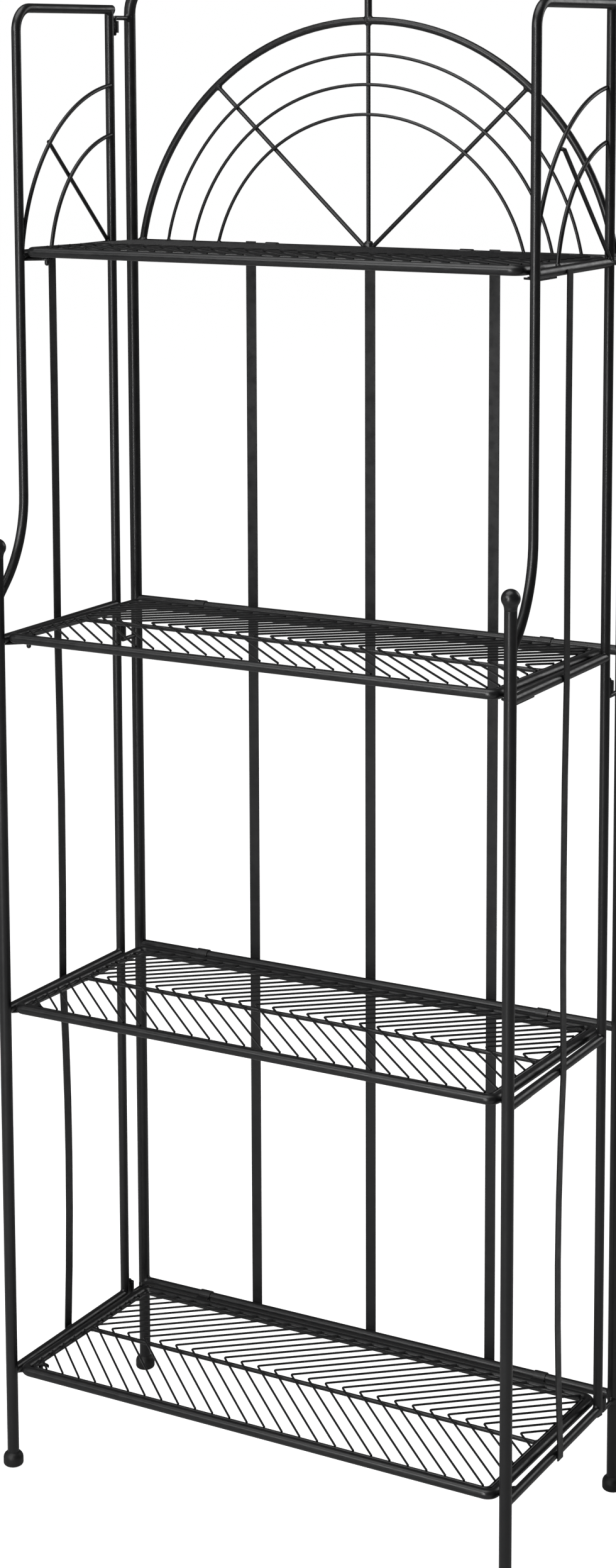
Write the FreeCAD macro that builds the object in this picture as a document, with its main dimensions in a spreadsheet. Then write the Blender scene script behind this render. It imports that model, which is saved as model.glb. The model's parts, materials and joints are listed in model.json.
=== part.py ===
import FreeCAD, Part
import math
import os

# Driving dimensions, in millimetres and degrees
SIZES = {
    # Overall frame
    "post_spacing": 597,
    "post_depth": 268,
    "post_diameter": 12.7,
    "tube_wall": 1,
    "weld_gap": 0.03,
    "hoop_bend_radius": 38,
    # Shelf levels
    "bottom_level": 108,
    "lower_bay": 409,
    "middle_bay": 404.5,
    "upper_bay": 404.5,
    "shelf_rise": -0.8,
    "shelf_tilt": 1.1,
    # Feet
    "foot_diameter": 22,
    "foot_height": 16,
    "foot_floor": 4,
    "foot_shoulder": 7.5,
    "foot_rounding": 3.5,
    # Back panel
    "rail_diameter": 10.4,
    "slat_width": 12,
    "slat_thickness": 1.5,
    "back_slat_spacing": 148,
    "back_slat_overlap": 6,
    # Sunburst
    "sunburst_drop": 47,
    "sunburst_setback": 2.5,
    "arch_inset": 8.5,
    "arch_diameter": 8,
    "outer_arc_inset": 35,
    "middle_arc_inset": 67,
    "inner_arc_inset": 98.5,
    "arc_diameter": 3.5,
    "spoke_diameter": 4.6,
    "spoke_angle": 43,
    "crown_length": 48,
    # Hinges
    "hinge_reach": 31.5,
    "hinge_pin_diameter": 5,
    "hinge_bend_radius": 2.8,
    "hinge_pin_length": 15,
    "hinge_tip_height": 1.5,
    "hinge_tip_diameter": 3.4,
    "hinge_clearance": 0.06,
    "hinge_end_gap": 0.4,
    "sleeve_diameter": 10,
    "sleeve_height": 13,
    "top_hinge_drop": 9,
    "middle_hinge_drop": 42.5,
    "bottom_hinge_drop": 6,
    # Side panels
    "side_tube_diameter": 10,
    "side_headroom": 80.5,
    "side_bend_radius": 24,
    "neck_setback": 50,
    "neck_bend_rise": 49,
    "neck_bend_radius": 129,
    "neck_lean": 44,
    "finial_rise": 99.5,
    "finial_diameter": 19,
    "side_slat_setback": 118,
    "side_slat_top_overlap": 1,
    "side_slat_bottom_overlap": 5,
    "side_slat_flat": 6,
    "upper_bay_bow": 0.4,
    "middle_bay_bow": 1.6,
    "lower_bay_bow": 4.4,
    "fan_rod_diameter": 4.4,
    "fan_drop": 22.5,
    "inner_fan_inset": 53.5,
    "fan_spoke_angle": 45,
    # Shelf tabs
    "tab_length": 44,
    "tab_thickness": 2,
    "tab_nose_radius": 9,
    "tab_slot_width": 8.6,
    # Shelves
    "shelf_tube_diameter": 10.4,
    "shelf_bend_radius": 9,
    "shelf_side_clearance": 0.7,
    "shelf_hinge_gap": 22.5,
    "deep_shelf_setback": 0,
    "top_shelf_setback": 45,
    "border_diameter": 4,
    "border_rise": 1.7,
    "border_bend_radius": 6,
    "spine_diameter": 4.8,
    "wire_diameter": 2.3,
    "wire_pitch": 21.1,
    "wire_rear_angle": 42,
    "wire_front_angle": 45,
    "wire_bend_radius": 2,
    "wire_bend_setback": 5,
    "wire_first_bend": 4,
    "wire_end_lap": 0.8,
    "shelf_pin_diameter": 5,
    "shelf_pin_setback": 33,
    "shelf_pin_reach": 6,
    "shelf_collar_diameter": 9,
    "shelf_collar_end_diameter": 7,
    "collar_clearance": 0.45,
    "deep_clip_offset": 213,
    "top_clip_offset": 118,
    "clip_width": 14,
    "clip_thickness": 1,
    "clip_clearance": 0.07,
}

doc = FreeCAD.newDocument("bakers_rack")
sheet = doc.addObject("Spreadsheet::Sheet", "sizes")
for row, (alias, number) in enumerate(SIZES.items(), start=1):
    sheet.set(f"A{row}", alias)
    sheet.set(f"B{row}", str(number))
    sheet.setAlias(f"B{row}", alias)
doc.recompute()

VECTOR = FreeCAD.Vector
RIGHT = VECTOR(1, 0, 0)
REARWARD = VECTOR(0, 1, 0)
UP = VECTOR(0, 0, 1)
LEFT = -RIGHT
FORWARD = -REARWARD
DOWN = -UP
QUARTER_TURN = 90
QUARTER = "90"
HALF_TURN = "180"

# Places worked out from the driving dimensions
HALF = "(sizes.post_spacing / 2)"
BACK = "(sizes.post_depth / 2)"
FRONT = "(-sizes.post_depth / 2)"
RAIL_RADIUS = "(sizes.rail_diameter / 2)"
HINGE_Y = f"({BACK} - sizes.hinge_reach)"
REAR_Y = f"({HINGE_Y} - (sizes.sleeve_diameter + sizes.side_tube_diameter) / 2 - sizes.weld_gap)"
NECK_Y = f"({FRONT} + sizes.neck_setback)"
SIDE_RADIUS = "(sizes.side_tube_diameter / 2)"
LEVEL = {"bottom": "sizes.bottom_level"}
LEVEL["lower"] = f"({LEVEL['bottom']} + sizes.lower_bay)"
LEVEL["upper"] = f"({LEVEL['lower']} + sizes.middle_bay)"
LEVEL["top"] = f"({LEVEL['upper']} + sizes.upper_bay)"
TOP_RAIL_Z = f"({LEVEL['top']} + sizes.shelf_rise)"
HUB_Z = f"({LEVEL['top']} - sizes.sunburst_drop)"
ARCH_RADIUS = f"({HALF} - sizes.arch_inset)"
ARCH_TOP = f"({HUB_Z} + {ARCH_RADIUS})"
HOOP_Z = f"({ARCH_TOP} + sizes.crown_length)"
SUNBURST_Y = f"({BACK} + sizes.sunburst_setback)"
FAN_Y = f"({REAR_Y} + sizes.fan_drop)"
FAN_Z = f"({LEVEL['top']} - sizes.fan_drop)"
FAN_RADIUS = {"outer": f"({FAN_Y} - {NECK_Y})"}
FAN_RADIUS["inner"] = f"({FAN_RADIUS['outer']} - sizes.inner_fan_inset)"
SIDE_Z = f"({FAN_Z} + {FAN_RADIUS['outer']} + sizes.side_headroom)"
HINGE_Z = {
    "top": f"({SIDE_Z} - sizes.top_hinge_drop)",
    "middle": f"({LEVEL['upper']} - sizes.middle_hinge_drop)",
    "bottom": f"({LEVEL['bottom']} - sizes.bottom_hinge_drop)",
}
FINIAL_Z = f"({LEVEL['upper']} + sizes.finial_rise)"
FINIAL_SEAT = "sqrt((sizes.finial_diameter / 2)^2 - (sizes.post_diameter / 2)^2)"
POST_TOP = f"({FINIAL_Z} - {FINIAL_SEAT})"
NECK_BEND_Z = f"({FINIAL_Z} + sizes.neck_bend_rise)"
SHELF_SIDE = "((sizes.finial_diameter + sizes.shelf_tube_diameter) / 2 + sizes.shelf_side_clearance)"
SHELF_HALF = f"({HALF} - {SHELF_SIDE})"
SHELF_REAR = f"({BACK} - sizes.shelf_hinge_gap)"
SHELVES = ("top", "upper", "lower", "bottom")
SHELF_FRONT = {shelf: f"({FRONT} + sizes.deep_shelf_setback)" for shelf in SHELVES}
SHELF_FRONT["top"] = f"({FRONT} + sizes.top_shelf_setback)"

nodes = []


def size(alias):
    return float(getattr(sheet, alias))


def bind(item, **links):
    for target, expression in links.items():
        item.setExpression(target, expression)


def place(item, x, y, z):
    item.setExpression("Placement.Base.x", x)
    item.setExpression("Placement.Base.y", y)
    item.setExpression("Placement.Base.z", z)
    return item


def turned(x_axis, y_axis):
    """The rotation that takes the local X and Y axes to the two given directions."""
    return FreeCAD.Rotation(x_axis, y_axis, x_axis.cross(y_axis), "XYZ")


ALONG = {
    "x": FreeCAD.Rotation(REARWARD, QUARTER_TURN),
    "y": FreeCAD.Rotation(RIGHT, -QUARTER_TURN),
    "z": FreeCAD.Rotation(),
}


def rod(name, diameter, length, x, y, z, along="z"):
    item = doc.addObject("Part::Cylinder", name)
    item.Placement = FreeCAD.Placement(VECTOR(), ALONG[along])
    bind(item, Radius=f"{diameter} / 2", Height=length)
    return place(item, x, y, z)


def leaning_rod(name, diameter, length, x, y, z, axis, angle):
    """A rod from the given point, turned from upright by an angle about an axis."""
    item = rod(name, diameter, length, x, y, z)
    item.Placement = FreeCAD.Placement(VECTOR(), FreeCAD.Rotation(axis, QUARTER_TURN))
    item.setExpression("Placement.Rotation.Angle", angle)
    return place(item, x, y, z)


def bend(name, diameter, radius, sweep, x, y, z, start, toward):
    """A bent rod about a centre, from the start direction round toward the second one."""
    item = doc.addObject("Part::Torus", name)
    item.Placement = FreeCAD.Placement(VECTOR(), turned(start, toward))
    bind(item, Radius1=radius, Radius2=f"{diameter} / 2", Angle3=sweep)
    return place(item, x, y, z)


def block(name, length, width, height, x, y, z):
    item = doc.addObject("Part::Box", name)
    bind(item, Length=length, Width=width, Height=height)
    return place(item, x, y, z)


def cone(name, lower, upper, height, x, y, z):
    item = doc.addObject("Part::Cone", name)
    bind(item, Radius1=f"{lower} / 2", Radius2=f"{upper} / 2", Height=height)
    return place(item, x, y, z)


def ball(name, diameter, x, y, z):
    item = doc.addObject("Part::Sphere", name)
    bind(item, Radius=f"{diameter} / 2")
    return place(item, x, y, z)


def cut(name, base, *tools):
    for count, tool in enumerate(tools, start=1):
        label = name if count == len(tools) else f"{name}_step_{count}"
        step = doc.addObject("Part::Cut", label)
        step.Base = base
        step.Tool = tool
        base = step
    return base


def fuse(name, *pieces):
    item = doc.addObject("Part::MultiFuse", name)
    item.Shapes = list(pieces)
    return item


def common(name, *pieces):
    item = doc.addObject("Part::MultiCommon", name)
    item.Shapes = list(pieces)
    return item


def group(name, *pieces):
    item = doc.addObject("Part::Compound", name)
    item.Links = list(pieces)
    return item


def mirrored(name, source):
    item = doc.addObject("Part::Mirroring", name)
    item.Source = source
    item.Base = VECTOR()
    item.Normal = RIGHT
    return item


def node(item):
    nodes.append(item)
    return item


def tube(name, diameter, run):
    """A hollow tube along a run, which is a function listing its solid pieces at one diameter."""
    solids = run(f"{name}_outer", diameter)
    bores = run(f"{name}_bore", f"({diameter} - 2 * sizes.tube_wall)")
    if len(solids) == 1:
        return cut(name, solids[0], bores[0])
    pieces = [cut(f"{solid.Name}_hollow", solid, bore) for solid, bore in zip(solids, bores)]
    return fuse(name, *pieces)


def shelf_z(shelf):
    return f"({LEVEL[shelf]} + sizes.shelf_rise)"


def value(expression):
    """The number that an expression of sheet sizes gives."""
    return float(sheet.evalExpression(expression))


# Outer shapes of the posts, used to shape the ends that meet them
POST_LENGTH = f"({HOOP_Z} - sizes.foot_floor)"
back_posts = [
    rod(f"{side}_back_post_shape", "sizes.post_diameter", POST_LENGTH, x, BACK, "sizes.foot_floor")
    for side, x in (("right", HALF), ("left", f"-{HALF}"))
]
front_post_shape = rod("front_post_shape", "sizes.post_diameter", f"({POST_TOP} - sizes.foot_floor)",
                       HALF, FRONT, "sizes.foot_floor")
neck_shape = rod("neck_shape", "sizes.side_tube_diameter", f"({SIDE_Z} - {NECK_BEND_Z})",
                 HALF, NECK_Y, NECK_BEND_Z)
REAR_BOTTOM = f"({LEVEL['bottom']} - {SIDE_RADIUS})"
rear_post_shape = rod("rear_post_shape", "sizes.side_tube_diameter", f"({SIDE_Z} - {REAR_BOTTOM})",
                      HALF, REAR_Y, REAR_BOTTOM)
BAR_END = f"({REAR_Y} + {SIDE_RADIUS})"
bar_shape = rod("top_bar_shape", "sizes.side_tube_diameter", f"({BAR_END} - {NECK_Y})",
                HALF, NECK_Y, SIDE_Z, "y")


# Back hoop: two posts and the top rail, one bent tube
def hoop_run(name, diameter):
    radius = "sizes.hoop_bend_radius"
    rise = f"({HOOP_Z} - {radius})"
    inner = f"({HALF} - {radius})"
    length = f"({rise} - sizes.foot_floor)"
    return [
        rod(f"{name}_right", diameter, length, HALF, BACK, "sizes.foot_floor"),
        bend(f"{name}_right_bend", diameter, radius, QUARTER, inner, BACK, rise, RIGHT, UP),
        rod(f"{name}_top", diameter, f"2 * {inner}", f"-{inner}", BACK, HOOP_Z, "x"),
        bend(f"{name}_left_bend", diameter, radius, QUARTER, f"-{inner}", BACK, rise, UP, LEFT),
        rod(f"{name}_left", diameter, length, f"-{HALF}", BACK, "sizes.foot_floor"),
    ]


node(tube("back_hoop", "sizes.post_diameter", hoop_run))


# Back rails, one at each shelf
rail_shapes = {}
for shelf in SHELVES:
    def rail_run(name, diameter, level=shelf_z(shelf)):
        return [rod(name, diameter, "sizes.post_spacing", f"-{HALF}", BACK, level, "x")]

    rail = tube(f"{shelf}_back_rail_tube", "sizes.rail_diameter", rail_run)
    rail_shapes[shelf] = rail.Base
    node(cut(f"{shelf}_back_rail", rail, *back_posts))


# Back slats, upright behind the rails
SLAT_Y = f"({BACK} + {RAIL_RADIUS} + sizes.weld_gap)"
slat_bottom = f"({shelf_z('bottom')} - sizes.back_slat_overlap)"
slat_length = f"({shelf_z('top')} - {shelf_z('bottom')} + 2 * sizes.back_slat_overlap)"
back_slats = [
    block(f"back_slat_{place_name}", "sizes.slat_width", "sizes.slat_thickness", slat_length,
          f"({offset} * sizes.back_slat_spacing - sizes.slat_width / 2)", SLAT_Y, slat_bottom)
    for place_name, offset in (("left", -1), ("middle", 0), ("right", 1))
]
node(group("back_slats", *back_slats))


# Sunburst: arch, three arcs and three spokes standing on the top rail
above_rail = block("above_top_rail", "sizes.post_spacing", "sizes.post_depth", f"({HOOP_Z} - {TOP_RAIL_Z})",
                   f"-{HALF}", "0", TOP_RAIL_Z)


def sunburst_bend(name, diameter, radius, y):
    ring = bend(f"{name}_ring", diameter, radius, HALF_TURN, "0", y, HUB_Z, RIGHT, UP)
    return common(f"{name}_part", ring, above_rail)


arch = sunburst_bend("sunburst_arch", "sizes.arch_diameter", ARCH_RADIUS, SUNBURST_Y)
node(cut("sunburst_arch", arch, rail_shapes["top"], *back_posts))
ARC_Y = f"({SUNBURST_Y} - (sizes.spoke_diameter + sizes.arc_diameter) / 2 - sizes.weld_gap)"
arcs = []
for ring_name in ("outer", "middle", "inner"):
    radius = f"({ARCH_RADIUS} - sizes.{ring_name}_arc_inset)"
    piece = sunburst_bend(f"{ring_name}_arc", "sizes.arc_diameter", radius, ARC_Y)
    arcs.append(cut(f"{ring_name}_arc", piece, rail_shapes["top"]))
node(group("sunburst_arcs", *arcs))

HUB_DEPTH = f"({TOP_RAIL_Z} - {HUB_Z})"
SPOKE_LENGTH = (f"(sqrt({ARCH_RADIUS}^2 - ({HUB_DEPTH} * cos(sizes.spoke_angle))^2)"
                f" - {HUB_DEPTH} * sin(sizes.spoke_angle))")
middle_spoke = rod("middle_spoke_rod", "sizes.spoke_diameter", f"({ARCH_TOP} - {TOP_RAIL_Z})",
                   "0", SUNBURST_Y, TOP_RAIL_Z)
spokes = [cut("middle_spoke", middle_spoke, rail_shapes["top"], arch)]
for side, sign in (("left", "-"), ("right", "")):
    spoke = leaning_rod(f"{side}_spoke_rod", "sizes.spoke_diameter", SPOKE_LENGTH, "0", SUNBURST_Y,
                        TOP_RAIL_Z, REARWARD, f"{sign}({QUARTER} - sizes.spoke_angle)")
    spokes.append(cut(f"{side}_spoke", spoke, rail_shapes["top"], arch, middle_spoke))
node(group("sunburst_spokes", *spokes))

hoop_top_shape = rod("hoop_top_shape", "sizes.post_diameter", "sizes.post_spacing",
                     f"-{HALF}", BACK, HOOP_Z, "x")
crown = rod("crown_rod_shape", "sizes.arch_diameter", "sizes.crown_length",
            "0", SUNBURST_Y, ARCH_TOP)
node(cut("crown_rod", crown, arch, hoop_top_shape))


# Feet
def foot(name, x, y):
    body = rod(f"{name}_body", "sizes.foot_diameter", "sizes.foot_height", x, y, "0")
    doc.recompute()
    rounded = doc.addObject("Part::Fillet", f"{name}_rounded")
    rounded.Base = body
    rims = []
    for count, edge in enumerate(body.Shape.Edges, start=1):
        if edge.Closed and isinstance(edge.Curve, Part.Circle):
            is_upper = edge.CenterOfMass.z > size("foot_height") / 2
            radius = size("foot_shoulder") if is_upper else size("foot_rounding")
            rims.append((count, radius, radius))
    rounded.Edges = rims
    socket = rod(f"{name}_socket", "(sizes.post_diameter + 2 * sizes.weld_gap)", "sizes.foot_height",
                 x, y, "sizes.foot_floor")
    return cut(name, rounded, socket)


node(group("back_feet", foot("right_back_foot", HALF, BACK), foot("left_back_foot", f"-{HALF}", BACK)))


# Hinge pins: bent rods from the back posts, and the sleeves that turn on them
HINGES = (("top", -1), ("middle", 1), ("bottom", 1))


def hinge_pin(hinge, upward):
    height = HINGE_Z[hinge]
    diameter = "sizes.hinge_pin_diameter"
    radius = "sizes.hinge_bend_radius"
    pin_start = f"({height} + {upward} * {radius})"
    pin_end = f"({pin_start} + {upward} * sizes.hinge_pin_length)"
    pin_low = pin_start if upward > 0 else pin_end
    tip_low = pin_end if upward > 0 else f"({pin_end} - sizes.hinge_tip_height)"
    tip = ("sizes.hinge_tip_diameter", diameter)
    lower, upper = tip if upward < 0 else tip[::-1]
    start = DOWN if upward > 0 else UP
    name = f"{hinge}_hinge"
    pin = fuse(
        f"{name}_rod",
        rod(f"{name}_arm", diameter, f"(sizes.hinge_reach - {radius})",
            HALF, f"({HINGE_Y} + {radius})", height, "y"),
        bend(f"{name}_bend", diameter, radius, QUARTER, HALF, f"({HINGE_Y} + {radius})",
             pin_start, start, FORWARD),
        rod(f"{name}_post", diameter, "sizes.hinge_pin_length", HALF, HINGE_Y, pin_low),
        cone(f"{name}_tip", lower, upper, "sizes.hinge_tip_height", HALF, HINGE_Y, tip_low),
    )
    return cut(f"{name}_pin", pin, back_posts[0])


def hinge_sleeve(hinge, upward):
    start = f"{HINGE_Z[hinge]} + {upward} * (sizes.hinge_bend_radius + sizes.hinge_end_gap)"
    low = f"({start})" if upward > 0 else f"({start} - sizes.sleeve_height)"
    bore = "(sizes.hinge_pin_diameter + 2 * sizes.hinge_clearance)"
    name = f"{hinge}_sleeve"
    outer = rod(f"{name}_outer", "sizes.sleeve_diameter", "sizes.sleeve_height", HALF, HINGE_Y, low)
    inner = rod(f"{name}_bore", bore, "sizes.sleeve_height", HALF, HINGE_Y, low)
    return cut(name, outer, inner)


right_hinge_pins = node(group("right_hinge_pins", *[hinge_pin(*hinge) for hinge in HINGES]))
node(mirrored("left_hinge_pins", right_hinge_pins))


# Side panel hoop: leg, neck and top bar, one bent tube, with the rear post under the end of the bar
def side_hoop_run(name, diameter):
    radius = "sizes.side_bend_radius"
    lean = "sizes.neck_lean"
    bend_y = f"({NECK_Y} - sizes.neck_bend_radius)"
    leg_y = f"({bend_y} + sizes.neck_bend_radius * cos({lean}))"
    leg_z = f"({NECK_BEND_Z} - sizes.neck_bend_radius * sin({lean}))"
    leg_length = f"(({leg_y} - {FRONT}) / sin({lean}))"
    rise = f"({SIDE_Z} - {radius})"
    front_y = f"({NECK_Y} + {radius})"
    end_wall = f"((sizes.side_tube_diameter - {diameter}) / 2)"
    return [
        leaning_rod(f"{name}_leg", diameter, leg_length, HALF, leg_y, leg_z, RIGHT, f"{HALF_TURN} - {lean}"),
        bend(f"{name}_leg_bend", diameter, "sizes.neck_bend_radius", lean, HALF, bend_y, NECK_BEND_Z,
             REARWARD, DOWN),
        rod(f"{name}_neck", diameter, f"({rise} - {NECK_BEND_Z})", HALF, NECK_Y, NECK_BEND_Z),
        bend(f"{name}_front_bend", diameter, radius, QUARTER, HALF, front_y, rise, FORWARD, UP),
        rod(f"{name}_bar", diameter, f"({BAR_END} - {front_y} - {end_wall})", HALF, front_y, SIDE_Z, "y"),
    ]


def rear_post_run(name, diameter):
    return [rod(name, diameter, f"({SIDE_Z} - {REAR_BOTTOM})", HALF, REAR_Y, REAR_BOTTOM)]


def side_rail(shelf):
    start, meets = (NECK_Y, neck_shape) if shelf == "top" else (FRONT, front_post_shape)

    def run(name, diameter):
        return [rod(name, diameter, f"({REAR_Y} - {start})", HALF, start, LEVEL[shelf], "y")]

    rail = tube(f"{shelf}_side_rail_tube", "sizes.side_tube_diameter", run)
    return cut(f"{shelf}_side_rail", rail, meets, rear_post_shape)


# Side slat: a flat bar outside the side rails, flat against each one and bowed inward a little between
def side_slat():
    inner_x = size("post_spacing") / 2 + size("side_tube_diameter") / 2 + size("weld_gap")
    outer_x = inner_x + size("slat_thickness")
    levels = [value(LEVEL[shelf]) for shelf in SHELVES]
    flat = size("side_slat_flat")
    flats = [[level + flat, level - flat] for level in levels]
    flats[0][0] = levels[0] + size("side_slat_top_overlap")
    flats[-1][1] = levels[-1] - size("side_slat_bottom_overlap")
    bows = [size(f"{bay}_bay_bow") for bay in ("upper", "middle", "lower")]
    middle_y = -size("post_depth") / 2 + size("side_slat_setback")

    def face_edges(x):
        edges = [Part.makeLine(VECTOR(x, 0, upper), VECTOR(x, 0, lower)) for upper, lower in flats]
        for above, below, bow in zip(flats, flats[1:], bows):
            middle = VECTOR(x - bow, 0, (above[1] + below[0]) / 2)
            edges.append(Part.Arc(VECTOR(x, 0, above[1]), middle, VECTOR(x, 0, below[0])).toShape())
        return edges

    inside = face_edges(inner_x)
    outside = face_edges(outer_x)
    caps = [
        Part.makeLine(VECTOR(inner_x, 0, level), VECTOR(outer_x, 0, level))
        for level in (flats[0][0], flats[-1][1])
    ]
    outline = Part.Wire(Part.__sortEdges__(inside + outside + caps))
    bar = Part.Face(outline).extrude(REARWARD * size("slat_width"))
    item = doc.addObject("Part::Feature", "right_side_slat")
    item.Shape = bar
    item.Placement = FreeCAD.Placement(VECTOR(0, middle_y - size("slat_width") / 2, 0), FreeCAD.Rotation())
    return item


# Fan above the top side rail: two arcs and a spoke
top_rail_shape = rod("top_side_rail_shape", "sizes.side_tube_diameter", f"({REAR_Y} - {NECK_Y})",
                     HALF, NECK_Y, LEVEL["top"], "y")
fan_corner = block("fan_corner", "sizes.post_depth", f"({REAR_Y} - {NECK_Y})", f"({SIDE_Z} - {LEVEL['top']})",
                   f"({HALF} - sizes.post_depth / 2)", NECK_Y, LEVEL["top"])
ARC_X = f"({HALF} - sizes.fan_rod_diameter / 2 - sizes.weld_gap / 2)"
FAN_SPOKE_X = f"({HALF} + sizes.fan_rod_diameter / 2 + sizes.weld_gap / 2)"


def fan_arc(ring_name):
    ring = bend(f"{ring_name}_fan_ring", "sizes.fan_rod_diameter", FAN_RADIUS[ring_name], QUARTER,
                ARC_X, FAN_Y, FAN_Z, FORWARD, UP)
    part = common(f"{ring_name}_fan_part", ring, fan_corner)
    return cut(f"{ring_name}_fan_arc", part, top_rail_shape, rear_post_shape, neck_shape)


def fan_spoke():
    angle = "sizes.fan_spoke_angle"
    aside = f"(sizes.fan_drop * (sin({angle}) - cos({angle})))"
    along = f"(sizes.fan_drop * (sin({angle}) + cos({angle})))"
    end_radius = f"({FAN_RADIUS['outer']} - sizes.fan_rod_diameter / 2)"
    reach = f"(sqrt({end_radius}^2 - {aside}^2) - {along})"
    spoke = leaning_rod("fan_spoke_rod", "sizes.fan_rod_diameter", reach, FAN_SPOKE_X, REAR_Y,
                        LEVEL["top"], RIGHT, angle)
    return cut("right_fan_spoke", spoke, top_rail_shape, rear_post_shape)


# Shelf tabs: plates under the side rails, each with a slot open at its inner end for a shelf pin
def pin_y(shelf):
    return f"({SHELF_FRONT[shelf]} + sizes.shelf_pin_setback)"


def tab_top(shelf):
    return f"({LEVEL[shelf]} - {SIDE_RADIUS} - sizes.weld_gap)"


def shelf_tab(shelf):
    name = f"{shelf}_tab"
    low = f"({tab_top(shelf)} - sizes.tab_thickness)"
    inset = f"({HALF} - {SHELF_HALF})"
    plate = doc.addObject("Part::Wedge", f"{name}_plate")
    plate.Placement = FreeCAD.Placement(VECTOR(), turned(REARWARD, LEFT))
    bind(plate, Xmin="-sizes.tab_length / 2", Xmax="sizes.tab_length / 2", Ymin="0", Ymax=inset,
         X2min="-sizes.tab_nose_radius", X2max="sizes.tab_nose_radius", Zmin="0", Z2min="0",
         Zmax="sizes.tab_thickness", Z2max="sizes.tab_thickness")
    place(plate, HALF, pin_y(shelf), low)
    nose = rod(f"{name}_nose", "2 * sizes.tab_nose_radius", "sizes.tab_thickness",
               SHELF_HALF, pin_y(shelf), low)
    slot_end = rod(f"{name}_slot_end", "sizes.tab_slot_width", "sizes.tab_thickness",
                   SHELF_HALF, pin_y(shelf), low)
    slot = block(f"{name}_slot", "2 * sizes.tab_nose_radius", "sizes.tab_slot_width", "sizes.tab_thickness",
                 f"({SHELF_HALF} - 2 * sizes.tab_nose_radius)",
                 f"({pin_y(shelf)} - sizes.tab_slot_width / 2)", low)
    return cut(name, fuse(f"{name}_outline", plate, nose), slot_end, slot)


def front_post_run(name, diameter):
    return [rod(name, diameter, f"({POST_TOP} - sizes.foot_floor)", HALF, FRONT, "sizes.foot_floor")]


# The right side panel, and the left one as its mirror image
hoop_tube = tube("side_hoop_tube", "sizes.side_tube_diameter", side_hoop_run)
rear_tube = tube("rear_post_tube", "sizes.side_tube_diameter", rear_post_run)
finial = ball("finial_ball", "sizes.finial_diameter", HALF, FRONT, FINIAL_Z)
right_pieces = {
    "front_post": tube("right_front_post", "sizes.post_diameter", front_post_run),
    "ball_finial": cut("right_ball_finial", finial, front_post_shape),
    "front_foot": foot("right_front_foot", HALF, FRONT),
    "side_hoop": cut("right_side_hoop", hoop_tube, front_post_shape),
    "rear_post": cut("right_rear_post", rear_tube, bar_shape),
    "side_rails": group("right_side_rails", *[side_rail(shelf) for shelf in SHELVES]),
    "side_slat": side_slat(),
    "fan_arcs": group("right_fan_arcs", fan_arc("outer"), fan_arc("inner")),
    "fan_spoke": fan_spoke(),
    "hinge_sleeves": group("right_hinge_sleeves", *[hinge_sleeve(*hinge) for hinge in HINGES]),
    "shelf_tabs": group("right_shelf_tabs", *[shelf_tab(shelf) for shelf in SHELVES]),
}
for piece_name, piece in right_pieces.items():
    node(piece)
    node(mirrored(f"left_{piece_name}", piece))


# Shelf rings and border rods: rods bent into a rounded rectangle
def loop_pieces(name, diameter, radius, half_width, front, rear, z):
    corner_x = f"({half_width} - {radius})"
    corner_front = f"({front} + {radius})"
    corner_rear = f"({rear} - {radius})"
    depth = f"({corner_rear} - {corner_front})"
    width = f"(2 * {corner_x})"
    return [
        rod(f"{name}_front", diameter, width, f"-{corner_x}", front, z, "x"),
        bend(f"{name}_front_right", diameter, radius, QUARTER, corner_x, corner_front, z, FORWARD, RIGHT),
        rod(f"{name}_right", diameter, depth, half_width, corner_front, z, "y"),
        bend(f"{name}_rear_right", diameter, radius, QUARTER, corner_x, corner_rear, z, RIGHT, REARWARD),
        rod(f"{name}_rear", diameter, width, f"-{corner_x}", rear, z, "x"),
        bend(f"{name}_rear_left", diameter, radius, QUARTER, f"-{corner_x}", corner_rear, z, REARWARD, LEFT),
        rod(f"{name}_left", diameter, depth, f"-{half_width}", corner_front, z, "y"),
        bend(f"{name}_front_left", diameter, radius, QUARTER, f"-{corner_x}", corner_front, z, LEFT, FORWARD),
    ]


BORDER_REACH = "((sizes.shelf_tube_diameter + sizes.border_diameter) / 2 + sizes.weld_gap)"
BORDER_INSET = f"sqrt({BORDER_REACH}^2 - sizes.border_rise^2)"


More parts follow.
